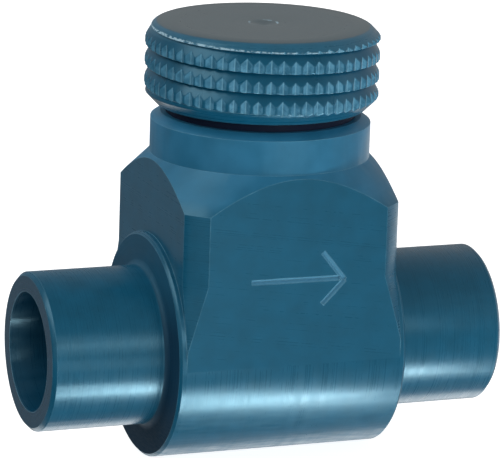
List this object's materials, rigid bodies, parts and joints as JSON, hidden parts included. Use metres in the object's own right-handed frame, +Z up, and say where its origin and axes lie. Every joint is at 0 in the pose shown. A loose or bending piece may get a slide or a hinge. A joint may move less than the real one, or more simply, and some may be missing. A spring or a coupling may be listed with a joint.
{
  "type": "flow control valve",
  "caption": "In-line throttling valve: square plastic block on a round boss, plain pipe spigots at both ends, knurled knob on top that lifts a tapered plug off its seat.",
  "frame": {"origin": "on the lowest line of the round boss, straight below the crossing of the flow axis and the stem axis", "axes": "+X along the flow from inlet to outlet, +Z up along the stem towards the knob, +Y away from the face with the arrow"},
  "size_m": [0.06, 0.0294, 0.0547],
  "materials": {
    "body_pvc": "turned and milled dark blue-grey rigid PVC, satin to semi-gloss",
    "knob_pvc": "turned and knurled dark blue-grey rigid PVC",
    "inner_pvc": "turned rigid PVC",
    "seal_rubber": "matt black elastomer",
    "ptfe": "waxy white PTFE",
    "steel": "turned stainless steel",
    "brass": "turned brass"
  },
  "bodies": {
    "valve_body": {"valve_body": "body_pvc", "seat_insert": "ptfe", "seat_o_ring": "seal_rubber", "bonnet": "inner_pvc", "bonnet_o_ring": "seal_rubber", "lower_stem_o_ring": "seal_rubber", "stem_spacer_ring": "ptfe", "upper_stem_o_ring": "seal_rubber", "lower_thrust_washer": "ptfe", "upper_thrust_washer": "ptfe", "gland_nut": "steel", "dust_ring": "seal_rubber", "guide_pins": "steel"},
    "plug": {"throttle_plug": "inner_pvc", "plug_seal": "ptfe", "plug_nose": "steel", "plug_guide_ring": "ptfe"},
    "knob": {"stem": "steel", "hand_knob": "knob_pvc", "knob_insert": "brass", "set_screws": "steel"}
  },
  "joints": [
    {"name": "knob_turn", "type": "hinge", "parent": "valve_body", "child": "knob", "pos_m": [0, 0, 0.0142], "axis": [0, 0, 1], "range_deg": [0, 1440]},
    {"name": "plug_lift", "type": "slide", "parent": "valve_body", "child": "plug", "axis": [0, 0, 1], "range_m": [0, 0.004]}
  ],
  "couplings": [
    {"joint": "plug_lift", "follows": "knob_turn", "m_per_rad": 0.00015915}
  ]
}
